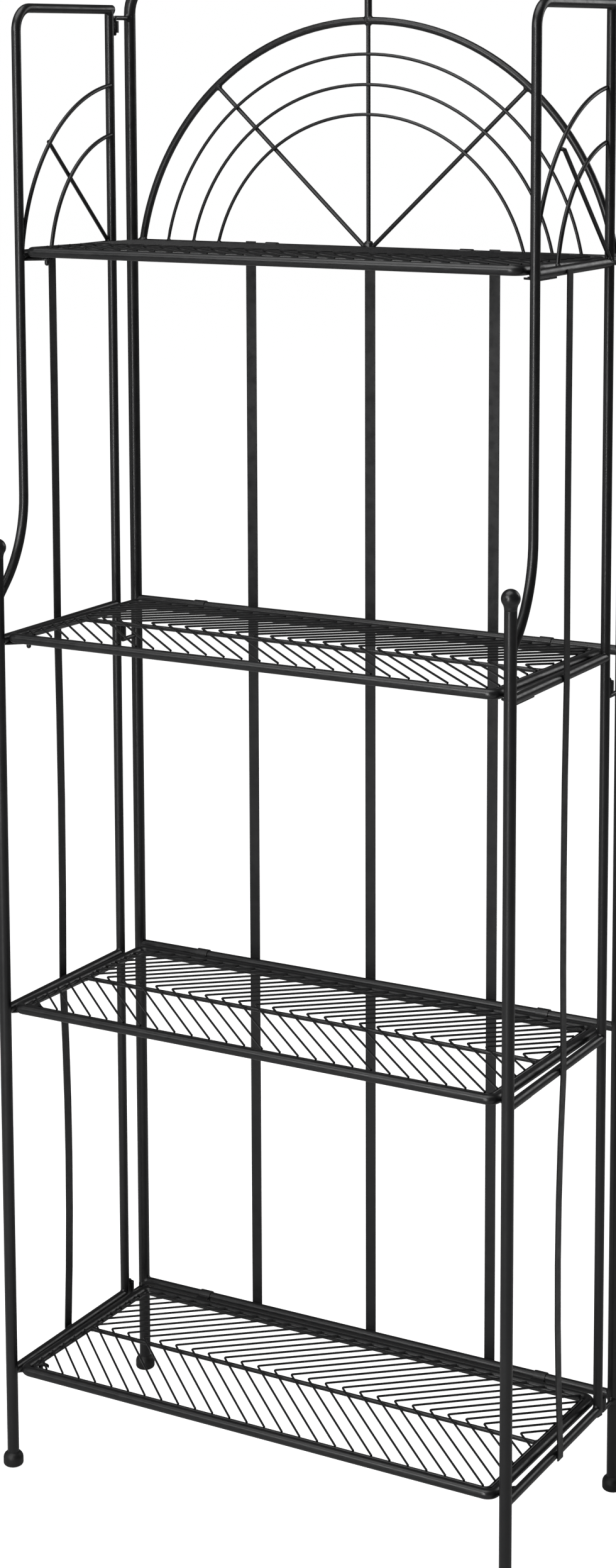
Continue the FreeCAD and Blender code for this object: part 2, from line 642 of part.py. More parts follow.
# Deck wires: bent rods laid across the spine and the border rod
def deck_wires(shelf):
    lap = value(BORDER_INSET) - size("wire_end_lap")
    side = value(SHELF_HALF) - lap
    front = value(SHELF_FRONT[shelf])
    rear = value(SHELF_REAR)
    bend_y = (front + rear) / 2 + size("wire_bend_setback")
    z = (value(shelf_z(shelf)) + size("border_rise") + (size("border_diameter") + size("wire_diameter")) / 2
         + size("weld_gap"))
    rear_angle = math.radians(size("wire_rear_angle"))
    front_angle = math.radians(size("wire_front_angle"))
    legs = (
        (VECTOR(math.cos(rear_angle), math.sin(rear_angle), 0), rear - lap - bend_y),
        (VECTOR(math.cos(front_angle), -math.sin(front_angle), 0), bend_y - front - lap),
    )

    def leg_ends(x, direction, depth):
        """The two ends of a leg from the bend at x, kept between the side rods."""
        corner = VECTOR(x, bend_y, z)
        length = min(depth / abs(direction.y), (side - x) / direction.x)
        first = max(0, (-side - x) / direction.x)
        return [corner + direction * step for step in (first, length)]

    def solid(edges):
        start = edges[0].firstVertex().Point
        direction = edges[0].tangentAt(edges[0].FirstParameter)
        profile = Part.Wire(Part.makeCircle(size("wire_diameter") / 2, start, direction))
        return Part.Wire(edges).makePipeShell([profile], True, False)

    def bent_wire(x):
        half_angle = (rear_angle + front_angle) / 2
        radius = size("wire_bend_radius")
        corner = VECTOR(x, bend_y, z)
        tips = [leg_ends(x, direction, depth)[1] for direction, depth in legs]
        starts = [corner + direction * (radius / math.tan(half_angle)) for direction, depth in legs]
        inward = (legs[0][0] + legs[1][0]).normalize()
        apex = corner + inward * (radius / math.sin(half_angle) - radius)
        return solid([
            Part.makeLine(tips[0], starts[0]),
            Part.Arc(starts[0], apex, starts[1]).toShape(),
            Part.makeLine(starts[1], tips[1]),
        ])

    first_x = -side + size("wire_first_bend")
    pitch = size("wire_pitch")
    spare = size("wire_bend_setback") + size("wire_first_bend")
    bends = int((2 * side - spare) / pitch) + 1
    wires = [bent_wire(first_x + count * pitch) for count in range(bends)]
    for direction, depth in legs:
        shorts = int((depth * direction.x / abs(direction.y) - spare) / pitch)
        for count in range(1, shorts + 1):
            wires.append(solid([Part.makeLine(*leg_ends(first_x - count * pitch, direction, depth))]))
    item = doc.addObject("Part::Feature", f"{shelf}_flat_wires")
    item.Shape = Part.makeCompound(wires)
    return item


def before_tilt(shelf, z):
    """The height at a shelf pin, before the shelf is tilted, of a given height after it."""
    tilt = "sizes.shelf_tilt"
    lift = f"(({BACK} - {pin_y(shelf)}) * sin({tilt}))"
    return f"({shelf_z(shelf)} + ({z} - {shelf_z(shelf)} - {lift}) / cos({tilt}))"


def shelf_pins(shelf):
    low = f"({tab_top(shelf)} - sizes.tab_thickness - sizes.shelf_pin_reach)"
    tip_z = before_tilt(shelf, f"({low} + sizes.shelf_pin_diameter / 2)")
    collar_z = before_tilt(shelf, f"({tab_top(shelf)} + sizes.collar_clearance)")
    pins = []
    for side, x in (("right", SHELF_HALF), ("left", f"-{SHELF_HALF}")):
        name = f"{shelf}_{side}_pin"
        pin = fuse(
            f"{name}_rod",
            rod(f"{name}_post", "sizes.shelf_pin_diameter", f"({shelf_z(shelf)} - {tip_z})",
                x, pin_y(shelf), tip_z),
            ball(f"{name}_tip", "sizes.shelf_pin_diameter", x, pin_y(shelf), tip_z),
            cone(f"{name}_collar", "sizes.shelf_collar_end_diameter", "sizes.shelf_collar_diameter",
                 f"({shelf_z(shelf)} - {collar_z})", x, pin_y(shelf), collar_z),
        )
        side_tube = rod(f"{name}_seat", "sizes.shelf_tube_diameter", f"({SHELF_REAR} - {SHELF_FRONT[shelf]})",
                        x, SHELF_FRONT[shelf], shelf_z(shelf), "y")
        pins.append(cut(name, pin, side_tube))
    return pins


# Shelf clips: straps round the back rail, their ends brought together and welded to the ring's rear tube
def shelf_clips(shelf):
    width = "sizes.clip_width"
    z = shelf_z(shelf)
    bore_radius = f"({RAIL_RADIUS} + sizes.clip_clearance)"
    offset = "sizes.top_clip_offset" if shelf == "top" else "sizes.deep_clip_offset"
    clips = []
    for side, sign in (("right", ""), ("left", "-")):
        name = f"{shelf}_{side}_clip"
        x = f"({sign}{offset} - {width} / 2)"
        eye = rod(f"{name}_eye", f"(2 * ({bore_radius} + sizes.clip_thickness))", width, x, BACK, z, "x")
        ends = block(f"{name}_ends", width, "sizes.shelf_hinge_gap", "(2 * sizes.clip_thickness)",
                     x, SHELF_REAR, f"({z} - sizes.clip_thickness)")
        bore = rod(f"{name}_bore", f"(2 * {bore_radius})", width, x, BACK, z, "x")
        seat = rod(f"{name}_seat", "(sizes.shelf_tube_diameter + 2 * sizes.weld_gap)", width,
                   x, SHELF_REAR, z, "x")
        clips.append(cut(name, fuse(f"{name}_strap", eye, ends), bore, seat))
    return clips


def tilted(name, shelf, *pieces):
    """A group of shelf pieces, turned up about the back rail until the shelf rests on its pins."""
    tilt = "sizes.shelf_tilt"
    z = shelf_z(shelf)
    item = group(name, *pieces)
    item.Placement = FreeCAD.Placement(VECTOR(), FreeCAD.Rotation(LEFT, QUARTER_TURN))
    item.setExpression("Placement.Rotation.Angle", tilt)
    return place(item, "0", f"({BACK} - {BACK} * cos({tilt}) - {z} * sin({tilt}))",
                 f"({z} + {BACK} * sin({tilt}) - {z} * cos({tilt}))")


# Shelves, each made level and then tilted
for shelf in SHELVES:
    front = SHELF_FRONT[shelf]

    def ring_run(name, diameter, shelf=shelf, front=front):
        return loop_pieces(name, diameter, "sizes.shelf_bend_radius", SHELF_HALF, front, SHELF_REAR,
                           shelf_z(shelf))

    border_z = f"({shelf_z(shelf)} + sizes.border_rise)"
    border_rods = loop_pieces(f"{shelf}_border_rod", "sizes.border_diameter", "sizes.border_bend_radius",
                              f"({SHELF_HALF} - {BORDER_INSET})", f"({front} + {BORDER_INSET})",
                              f"({SHELF_REAR} - {BORDER_INSET})", border_z)
    border = fuse(f"{shelf}_flat_border", *border_rods)
    spine_half = f"({SHELF_HALF} - {BORDER_INSET})"
    spine = rod(f"{shelf}_spine_rod", "sizes.spine_diameter", f"(2 * {spine_half})", f"-{spine_half}",
                f"(({front} + {SHELF_REAR}) / 2)",
                f"({border_z} + (sizes.border_diameter - sizes.spine_diameter) / 2)", "x")
    flat_pieces = {
        "ring": [tube(f"{shelf}_flat_ring", "sizes.shelf_tube_diameter", ring_run)],
        "border": [border],
        "spine": [cut(f"{shelf}_flat_spine", spine, border)],
        "wires": [deck_wires(shelf)],
        "pins": shelf_pins(shelf),
        "clips": shelf_clips(shelf),
    }
    for piece_name, pieces in flat_pieces.items():
        node(tilted(f"{shelf}_shelf_{piece_name}", shelf, *pieces))

doc.recompute()

# Check every object, then write one file for each named piece
for item in doc.Objects:
    if "Invalid" in item.State or "Error" in item.State:
        raise RuntimeError(f"{item.Label} did not rebuild: {item.State}")
os.makedirs("parts", exist_ok=True)
for item in nodes:
    if item.Shape.isNull() or not item.Shape.isValid() or not item.Shape.Solids:
        raise RuntimeError(f"{item.Label} has no valid solid")
    item.Shape.exportStep(f"parts/{item.Label}.step")
    print(item.Label, len(item.Shape.Solids), round(item.Shape.Volume))
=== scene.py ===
import json
import math

import bmesh
import bpy
from mathutils import Matrix, Vector
from mathutils.bvhtree import BVHTree
from mathutils.noise import noise


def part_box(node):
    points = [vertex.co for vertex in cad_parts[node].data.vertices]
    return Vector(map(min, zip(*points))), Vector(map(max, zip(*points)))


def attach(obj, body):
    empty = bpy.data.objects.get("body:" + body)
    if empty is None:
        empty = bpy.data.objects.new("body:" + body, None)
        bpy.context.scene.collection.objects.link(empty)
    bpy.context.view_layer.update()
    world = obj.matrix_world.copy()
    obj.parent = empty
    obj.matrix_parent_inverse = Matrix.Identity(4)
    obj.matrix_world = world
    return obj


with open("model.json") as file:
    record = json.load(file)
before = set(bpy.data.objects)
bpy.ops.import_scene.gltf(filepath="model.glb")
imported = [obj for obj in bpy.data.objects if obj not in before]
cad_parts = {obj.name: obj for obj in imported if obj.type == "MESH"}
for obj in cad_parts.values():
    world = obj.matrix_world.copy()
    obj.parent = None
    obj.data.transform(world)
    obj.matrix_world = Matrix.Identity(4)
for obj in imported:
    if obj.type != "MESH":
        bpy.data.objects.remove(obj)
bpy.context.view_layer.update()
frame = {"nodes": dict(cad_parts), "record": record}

MM = 0.001
FULL_TURN = 2 * math.pi
SHELVES = ("top", "upper", "lower", "bottom")
SIDES = {"left": -1, "right": 1}

# Camera, solved from the photograph
FRAME_WIDTH = 980
FRAME_HEIGHT = 2493
CAMERA_PLACE = Vector((1.4517, -2.5669, 1.5402))
CAMERA_AZIMUTH = math.radians(29.383)
CAMERA_PITCH = math.radians(7.584)
CAMERA_ROLL = math.radians(-0.195)
FOCAL_PIXELS = 4568.05
CENTRE_PIXEL = (495.80, 685.01)
SENSOR = 36

camera = bpy.data.objects.new("camera", bpy.data.cameras.new("camera"))
bpy.context.scene.collection.objects.link(camera)
bpy.context.scene.camera = camera
camera.data.sensor_width = SENSOR
camera.data.lens = FOCAL_PIXELS / FRAME_HEIGHT * SENSOR
camera.data.shift_x = (FRAME_WIDTH / 2 - CENTRE_PIXEL[0]) / FRAME_HEIGHT
camera.data.shift_y = (CENTRE_PIXEL[1] - FRAME_HEIGHT / 2) / FRAME_HEIGHT
level_right = Vector((math.cos(CAMERA_AZIMUTH), math.sin(CAMERA_AZIMUTH), 0))
level_ahead = Vector((-math.sin(CAMERA_AZIMUTH), math.cos(CAMERA_AZIMUTH), 0))
ahead = level_ahead * math.cos(CAMERA_PITCH) - Vector((0, 0, math.sin(CAMERA_PITCH)))
level_up = level_right.cross(ahead)
right = level_right * math.cos(CAMERA_ROLL) + level_up * math.sin(CAMERA_ROLL)
up = level_up * math.cos(CAMERA_ROLL) - level_right * math.sin(CAMERA_ROLL)
camera_turn = Matrix((right, up, -ahead)).transposed().to_4x4()
camera.matrix_world = Matrix.Translation(CAMERA_PLACE) @ camera_turn


# Node helpers for the materials
NOISE_DETAIL = 2
NOISE_ROUGHNESS = 0.5


class Nodes:
    """The node tree of one material, with short calls for the nodes used here."""

    def __init__(self, name):
        self.material = bpy.data.materials.new(name)
        self.material.use_nodes = True
        self.tree = self.material.node_tree
        self.shader = self.tree.nodes["Principled BSDF"]
        self.place = self.tree.nodes.new("ShaderNodeTexCoord").outputs["Object"]
        self.surface = self.tree.nodes.new("ShaderNodeNewGeometry").outputs["Normal"]

    def link(self, source, target):
        self.tree.links.new(source, target)

    def noise(self, cell, detail=NOISE_DETAIL, roughness=NOISE_ROUGHNESS):
        """Noise with lumps about one cell long, in metres."""
        texture = self.tree.nodes.new("ShaderNodeTexNoise")
        texture.inputs["Scale"].default_value = 1 / cell
        texture.inputs["Detail"].default_value = detail
        texture.inputs["Roughness"].default_value = roughness
        self.link(self.place, texture.inputs["Vector"])
        return texture.outputs["Fac"]

    def ramp(self, factor, values, span):
        """A value that goes from the first to the second as the factor crosses the span."""
        ramp = self.tree.nodes.new("ShaderNodeMapRange")
        ramp.inputs["From Min"].default_value, ramp.inputs["From Max"].default_value = span
        ramp.inputs["To Min"].default_value, ramp.inputs["To Max"].default_value = values
        self.link(factor, ramp.inputs["Value"])
        return ramp.outputs["Result"]

    def maths(self, operation, first, second):
        node = self.tree.nodes.new("ShaderNodeMath")
        node.operation = operation
        node.use_clamp = True
        self.link(first, node.inputs[0])
        self.link(second, node.inputs[1])
        return node.outputs["Value"]

    def product(self, first, second):
        return self.maths("MULTIPLY", first, second)

    def sum(self, first, second):
        return self.maths("ADD", first, second)

    def dot(self, first, second):
        node = self.tree.nodes.new("ShaderNodeVectorMath")
        node.operation = "DOT_PRODUCT"
        self.link(first, node.inputs[0])
        self.link(second, node.inputs[1])
        return node.outputs["Value"]

    def colours(self, factor, first, second):
        """A blend from the first colour or source to the second one."""
        mix = self.tree.nodes.new("ShaderNodeMix")
        mix.data_type = "RGBA"
        self.link(factor, mix.inputs["Factor"])
        for socket, colour in (("A", first), ("B", second)):
            target = next(i for i in mix.inputs if i.name == socket and i.type == "RGBA")
            if isinstance(colour, tuple):
                target.default_value = (*colour, 1)
            else:
                self.link(colour, target)
        return next(o for o in mix.outputs if o.type == "RGBA")

    def bump(self, height, strength, distance, base=None):
        bump = self.tree.nodes.new("ShaderNodeBump")
        bump.inputs["Strength"].default_value = strength
        bump.inputs["Distance"].default_value = distance
        self.link(height, bump.inputs["Height"])
        if base:
            self.link(base, bump.inputs["Normal"])
        return bump.outputs["Normal"]


# Powder coat: fine orange peel, slow changes of tone and gloss, edges worn paler and rare rubbed specks.
# Moulded plastic: a finer grain and slow changes of tone and gloss.
SLOW_DETAIL = 3
FINE_DETAIL = 4
SPECK_ROUGHNESS = 0.7
PEEL_CELL = 1.1 * MM
PEEL_HEIGHT = 0.02 * MM
PEEL_STRENGTH = 0.6
GRAIN_CELL = 0.55 * MM
GRAIN_STRENGTH = 0.8
GRAIN_DETAIL = 1
GLOSS_CELL = 9 * MM
TONE_CELL = 60 * MM
WEAR_CELL = 14 * MM
SPECK_CELL = 5 * MM
EDGE_ROUNDING = 0.5 * MM
MIDDLE_SPAN = (0.35, 0.65)
SPECK_SPAN = (0.74, 0.80)
WEAR_SPAN = (0.45, 0.70)
EDGE_SPAN = (0.99, 0.86)
COAT_SPECULAR = 0.5
PLASTIC_SPECULAR = 0.4


def powder_coat(name, dark, light, worn, roughness):
    nodes = Nodes(name)
    rounded = nodes.tree.nodes.new("ShaderNodeBevel")
    rounded.inputs["Radius"].default_value = EDGE_ROUNDING
    tone = nodes.ramp(nodes.noise(TONE_CELL, SLOW_DETAIL), (0, 1), MIDDLE_SPAN)
    coat = nodes.colours(tone, dark, light)
    edges = nodes.ramp(nodes.dot(rounded.outputs["Normal"], nodes.surface), (0, 1), EDGE_SPAN)
    rubbing = nodes.ramp(nodes.noise(WEAR_CELL, FINE_DETAIL), (0, 1), WEAR_SPAN)
    specks = nodes.ramp(nodes.noise(SPECK_CELL, FINE_DETAIL, SPECK_ROUGHNESS), (0, 1), SPECK_SPAN)
    wear = nodes.sum(nodes.product(edges, rubbing), specks)
    nodes.link(nodes.colours(wear, coat, worn), nodes.shader.inputs["Base Color"])
    shine = nodes.ramp(nodes.noise(GLOSS_CELL, SLOW_DETAIL), roughness, MIDDLE_SPAN)
    nodes.link(shine, nodes.shader.inputs["Roughness"])
    peel = nodes.bump(nodes.noise(PEEL_CELL), PEEL_STRENGTH, PEEL_HEIGHT, rounded.outputs["Normal"])
    nodes.link(peel, nodes.shader.inputs["Normal"])
    nodes.shader.inputs["Specular IOR Level"].default_value = COAT_SPECULAR
    return nodes.material


def moulded_plastic(name, dark, light, roughness):
    nodes = Nodes(name)
    tone = nodes.ramp(nodes.noise(GLOSS_CELL, FINE_DETAIL), (0, 1), MIDDLE_SPAN)
    nodes.link(nodes.colours(tone, dark, light), nodes.shader.inputs["Base Color"])
    shine = nodes.ramp(nodes.noise(SPECK_CELL), roughness, MIDDLE_SPAN)
    nodes.link(shine, nodes.shader.inputs["Roughness"])
    grain = nodes.bump(nodes.noise(GRAIN_CELL, GRAIN_DETAIL), GRAIN_STRENGTH, PEEL_HEIGHT)
    nodes.link(grain, nodes.shader.inputs["Normal"])
    nodes.shader.inputs["Specular IOR Level"].default_value = PLASTIC_SPECULAR
    return nodes.material


# The colours and the range of roughness of each slot
COATS = {
    "tube_coat": {
        "dark": (0.0050, 0.0050, 0.0055),
        "light": (0.0085, 0.0085, 0.0090),
        "worn": (0.040, 0.040, 0.040),
        "roughness": (0.28, 0.38),
    },
    "rod_coat": {
        "dark": (0.0045, 0.0045, 0.0050),
        "light": (0.0075, 0.0075, 0.0080),
        "worn": (0.035, 0.035, 0.035),
        "roughness": (0.30, 0.40),
    },
    "flat_bar_coat": {
        "dark": (0.0060, 0.0060, 0.0065),
        "light": (0.0100, 0.0100, 0.0105),
        "worn": (0.040, 0.040, 0.040),
        "roughness": (0.34, 0.46),
    },
}
FOOT_PLASTIC = {
    "dark": (0.005, 0.005, 0.005),
    "light": (0.009, 0.009, 0.009),
    "roughness": (0.42, 0.55),
}
materials = {slot: powder_coat(f"{slot}_look", **coat) for slot, coat in COATS.items()}
materials["foot_caps"] = moulded_plastic("foot_caps_look", **FOOT_PLASTIC)
slot_of = {part["node"]: part["material_slot"] for part in frame["record"]["subparts"]}
for node_name, item in frame["nodes"].items():
    item.data.materials.clear()
    item.data.materials.append(materials[slot_of[node_name]])


# Welds: a fillet round each sharp end that meets another piece of its body
MERGE_DISTANCE = 0.001 * MM
SHARP_ANGLE = math.radians(24)
CONTACT_DISTANCE = 0.07 * MM
SHORTEST_RUN = 4 * MM
SAME_CENTRE = 2.5 * MM
FILLET_SHARE = 0.9
FILLET_SMALLEST = 1.2 * MM
FILLET_LARGEST = 2.0 * MM
LARGER_FILLETS = {"hinge_pins": 3.4 * MM, "sunburst_spokes": 2.6 * MM, "sunburst_arch": 2.6 * MM}
FILLET_STEP = 0.6 * MM
FILLET_STEPS = 4
FILLET_HOLLOW_SHARE = 0.22
FILLET_SINK_SHARE = 0.15
FILLET_ROOT_SHARE = 0.25
SHALLOW_SHARE = 0.45
UNEVEN_SHARE = 0.16
LUMP = 3 * MM
BEAD_SIDES = 10
BEAD_STEP = 0.7 * MM
FEWEST_STEPS = 4
TAPER_START_SHARE = 0.25
TAPER_LENGTH_SHARE = 2
# A face whose normal points against the base's by more than this cosine is the welded end itself
CAP_CUT = -0.6
# Pieces that no fillet starts from or lies on, and pieces that fillets only lie on
UNWELDED = ("wires", "foot", "feet", "slat", "slats", "tabs", "clips")
ONLY_BASES = ("front_post", "ball_finial")


def merged(mesh):
    work = bmesh.new()
    work.from_mesh(mesh)
    bmesh.ops.remove_doubles(work, verts=work.verts, dist=MERGE_DISTANCE)
    return work


def runs_of(edges):
    """Edges joined end to end, as runs of vertices; a closed run ends at its first vertex."""
    links = {}
    for edge in edges:
        for vert in edge.verts:
            links.setdefault(vert, []).append(edge)
    left = set(edges)
    runs = []
    for edge in edges:
        if edge not in left:
            continue
        left.discard(edge)
        run = list(edge.verts)
        for _ in ("tail", "head"):
            onward = [e for e in links[run[-1]] if e in left]
            while onward:
                left.discard(onward[0])
                run.append(onward[0].other_vert(run[-1]))
                onward = [e for e in links[run[-1]] if e in left]
            run.reverse()
        runs.append(run)
    return runs


def length_of(points):
    return sum((b - a).length for a, b in zip(points, points[1:]))


def centre_of(points):
    return sum(points, Vector()) / len(points)


def is_closed(points):
    return (points[0] - points[-1]).length < MERGE_DISTANCE


def resampled(points, rows, step):
    """The points at even steps, with each row of vectors that goes with them blended in the same way."""
    length = length_of(points)
    count = max(FEWEST_STEPS, round(length / step))
    spacing = length / count
    samples = []
    along = 0.0
    for index in range(len(points) - 1):
        a, b = points[index], points[index + 1]
        span = (b - a).length
        while span > 0 and len(samples) < count and along + span >= spacing * len(samples):
            share = (spacing * len(samples) - along) / span
            blended = [row[index].lerp(row[index + 1], share).normalized() for row in rows]
            samples.append([a.lerp(b, share), *blended])
        along += span
    if not is_closed(points):
        samples.append([points[-1], *[row[-1] for row in rows]])
    return samples, spacing


def add_rings(work, rings, closed):
    """A skin over rings of places, closed on itself or capped at both ends."""
    verts = [[work.verts.new(place) for place in ring] for ring in rings]
    pairs = list(zip(verts, verts[1:]))
    if closed:
        pairs.append((verts[-1], verts[0]))
    else:
        work.faces.new(verts[0][::-1])
        work.faces.new(verts[-1])
    sides = len(verts[0])
    for one, other in pairs:
        for side in range(sides):
            after = (side + 1) % sides
            work.faces.new((one[side], one[after], other[after], other[side]))


def end_taper(index, count, spacing, reach):
    """The share of its thickness that a weld has near the ends of an open run."""
    inside = min(index, count - 1 - index) * spacing
    start = TAPER_START_SHARE * spacing
    return math.sqrt(min(1, (inside + start) / (TAPER_LENGTH_SHARE * reach)))


def add_fillet(work, points, sides, bases, reach):
    """A hollow fillet along a run, between the welded piece's side and the surface under it."""
    samples, spacing = resampled(points, (sides, bases), FILLET_STEP)
    closed = is_closed(points)
    rings = []
    for index, (point, side, base) in enumerate(samples):
        up = base - side * base.dot(side)
        out = side - base * side.dot(base)
        leg = reach * (1 + UNEVEN_SHARE * noise(point / LUMP)) * min(1, up.length / SHALLOW_SHARE)
        if not closed:
            leg *= end_taper(index, len(samples), spacing, reach)
        up.normalize()
        out.normalize()
        first = point + leg * (up - FILLET_SINK_SHARE * side)
        last = point + leg * (out - FILLET_SINK_SHARE * base)
        middle = point + leg * FILLET_HOLLOW_SHARE * (up + out)
        ring = [point - leg * FILLET_ROOT_SHARE * (up + out)]
        for step in range(FILLET_STEPS + 1):
            share = step / FILLET_STEPS
            ring.append(first.lerp(middle, share).lerp(middle.lerp(last, share), share))
        rings.append(ring)
    add_rings(work, rings, closed)


def add_bead(work, start, end, radius):
    """A straight bead of uneven thickness, tapered at both ends."""
    tangent = (end - start).normalized()
    outward = tangent.orthogonal().normalized()
    sideways = tangent.cross(outward)
    samples, spacing = resampled([start, end], (), BEAD_STEP)
    rings = []
    for index, (point,) in enumerate(samples):
        thickness = radius * (1 + UNEVEN_SHARE * noise(point / LUMP))
        thickness *= end_taper(index, len(samples), spacing, radius)
        ring = []
        for side in range(BEAD_SIDES):
            angle = FULL_TURN * side / BEAD_SIDES
            ring.append(point + thickness * (math.cos(angle) * outward + math.sin(angle) * sideways))
        rings.append(ring)
    add_rings(work, rings, closed=False)


def welded_runs(node_name, trees):
    """The sharp runs of a node that lie on another node, as points with side and base directions."""
    work = merged(frame["nodes"][node_name].data)
    others = [tree for name, tree in trees.items() if name != node_name]
    bases = {}
    sharp = [e for e in work.edges if len(e.link_faces) == 2 and e.calc_face_angle() > SHARP_ANGLE]
    for vert in {v for e in sharp for v in e.verts}:
        for tree in others:
            found, normal, _, _ = tree.find_nearest(vert.co, CONTACT_DISTANCE)
            if found:
                bases[vert] = normal
    edges = [e for e in sharp if all(vert in bases for vert in e.verts)]
    runs = []
    for run in runs_of(edges):
        points = [vert.co.copy() for vert in run]
        if length_of(points) < SHORTEST_RUN:
            continue
        sides = []
        for vert in run:
            faces = [face for face in vert.link_faces if face.normal.dot(bases[vert]) > CAP_CUT]
            sides.append(sum((face.normal for face in faces), Vector()).normalized())
        runs.append((points, sides, [bases[vert].copy() for vert in run]))
    work.free()
    runs.sort(key=lambda run: length_of(run[0]), reverse=True)
    kept = []
    for run in runs:
        if all((centre_of(run[0]) - centre_of(other[0])).length > SAME_CENTRE for other in kept):
            kept.append(run)
    return kept


def new_piece(name, work, body, slot):
    bmesh.ops.recalc_face_normals(work, faces=work.faces)
    for face in work.faces:
        face.smooth = True
    mesh = bpy.data.meshes.new(name)
    work.to_mesh(mesh)
    work.free()
    mesh.materials.append(materials[slot])
    piece = bpy.data.objects.new(name, mesh)
    bpy.context.scene.collection.objects.link(piece)
    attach(piece, body)


def solids_of(node_name):
    """The lowest and highest corners of each separate solid in a node."""
    work = merged(frame["nodes"][node_name].data)
    left = set(work.verts)
    boxes = []
    for first in work.verts:
        if first not in left:
            continue
        left.discard(first)
        reached = [first]
        for vert in reached:
            for edge in vert.link_edges:
                neighbour = edge.other_vert(vert)
                if neighbour in left:
                    left.discard(neighbour)
                    reached.append(neighbour)
        axes = list(zip(*(vert.co for vert in reached)))
        low = Vector([min(axis) for axis in axes])
        high = Vector([max(axis) for axis in axes])
        boxes.append((low, high))
    work.free()
    return boxes


# Beads where round tubes touch flat bars or each other along their sides
CREASE = 2.6 * MM
CREASE_DEPTH = 0.35 * MM
CREASE_BEAD = 0.9 * MM
SLEEVE_CREASE = 2.9 * MM
SLEEVE_BEAD = 1.4 * MM
BEAD_INSET = 0.8 * MM
TAB_BEAD_INSET = 2.6 * MM


def back_slat_beads(work):
    for low, high in solids_of("back_slats"):
        for shelf in SHELVES:
            rail_low, rail_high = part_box(f"{shelf}_back_rail")
            for sign in (-1, 1):
                z = (rail_low.z + rail_high.z) / 2 + sign * CREASE
                y = low.y - CREASE_DEPTH
                start = Vector((low.x + BEAD_INSET, y, z))
                end = Vector((high.x - BEAD_INSET, y, z))
                add_bead(work, start, end, CREASE_BEAD)


def side_beads(work, side, sign):
    post_low, post_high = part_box(f"{side}_rear_post")
    middle_x = (post_low.x + post_high.x) / 2
    for low, high in solids_of(f"{side}_hinge_sleeves"):
        seam_y = (low.y + post_high.y) / 2
        for offset in (-SLEEVE_CREASE, SLEEVE_CREASE):
            start = Vector((middle_x + offset, seam_y, low.z + BEAD_INSET))
            end = Vector((middle_x + offset, seam_y, high.z - BEAD_INSET))
            add_bead(work, start, end, SLEEVE_BEAD)
    slat_low, slat_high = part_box(f"{side}_side_slat")
    for low, high in solids_of(f"{side}_side_rails"):
        outer_x = max(low.x * sign, high.x * sign) - CREASE_DEPTH
        for offset in (-CREASE, CREASE):
            z = (low.z + high.z) / 2 + offset
            if slat_low.z < z < slat_high.z:
                start = Vector((sign * outer_x, slat_low.y + BEAD_INSET, z))
                end = Vector((sign * outer_x, slat_high.y - BEAD_INSET, z))
                add_bead(work, start, end, CREASE_BEAD)
    for low, high in solids_of(f"{side}_shelf_tabs"):
        x = middle_x - sign * CREASE
        z = high.z + CREASE_DEPTH
        start = Vector((x, low.y + TAB_BEAD_INSET, z))
        end = Vector((x, high.y - TAB_BEAD_INSET, z))
        add_bead(work, start, end, CREASE_BEAD)


# Fan tips: the lump of weld that joins the free end of each fan spoke to the outer arc beside it,
# as shares of the spoke's radius
TIP_BEAD_SHARE = 1.1
TIP_OUTWARD_SHARE = 0.8
TIP_INWARD_SHARE = 0.4
TIP_AHEAD_SHARE = 0.2


def add_fan_tip(work, side, sign):
    spoke_low, spoke_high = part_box(f"{side}_fan_spoke")
    arc_low, arc_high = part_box(f"{side}_fan_arcs")
    radius = (spoke_high.x - spoke_low.x) / 2
    along = Vector((0, -1, 1)).normalized()
    centre = Vector((0, spoke_low.y, spoke_high.z)) + (TIP_AHEAD_SHARE - 1) * radius * along
    outward = Vector((sign * radius, 0, 0))
    spoke = centre + Vector(((spoke_low.x + spoke_high.x) / 2, 0, 0))
    arc = centre + Vector(((arc_low.x + arc_high.x) / 2, 0, 0))
    start = spoke + TIP_OUTWARD_SHARE * outward
    end = arc - TIP_INWARD_SHARE * outward
    add_bead(work, start, end, TIP_BEAD_SHARE * radius)


# Hub: the lump of weld where the three spokes stand together on the top rail
HUB_SIZE = Vector((6.5, 4.5, 6.5)) * MM
HUB_RINGS = 8
HUB_SIDES = 20
HUB_LOWEST_SHARE = -0.6
HUB_HIGHEST_SHARE = 0.97


def add_hub(work):
    spoke_low, spoke_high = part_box("sunburst_spokes")
    _, rail_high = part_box("top_back_rail")
    centre = Vector((0, (spoke_low.y + spoke_high.y) / 2, rail_high.z))
    rings = []
    for count in range(HUB_RINGS):
        height = HUB_LOWEST_SHARE + (HUB_HIGHEST_SHARE - HUB_LOWEST_SHARE) * count / (HUB_RINGS - 1)
        width = math.sqrt(1 - height * height)
        ring = []
        for side in range(HUB_SIDES):
            angle = FULL_TURN * side / HUB_SIDES
            reach = Vector((width * math.cos(angle), width * math.sin(angle), height)) * HUB_SIZE
            ring.append(centre + reach * (1 + UNEVEN_SHARE * noise(reach / LUMP)))
        rings.append(ring)
    add_rings(work, rings, closed=False)


# Necks: the smooth weld between each front post and its ball. Each point of the profile is how far out
# and how far above the post's end it lies, as shares of the post's radius.
NECK_PROFILE_SHARES = (
    (0.94, -0.75),
    (1.0, -0.75),
    (1.025, -0.4),
    (1.08, -0.1),
    (1.19, 0.2),
    (1.34, 0.46),
    (0.94, 0.4),
)
NECK_SIDES = 32


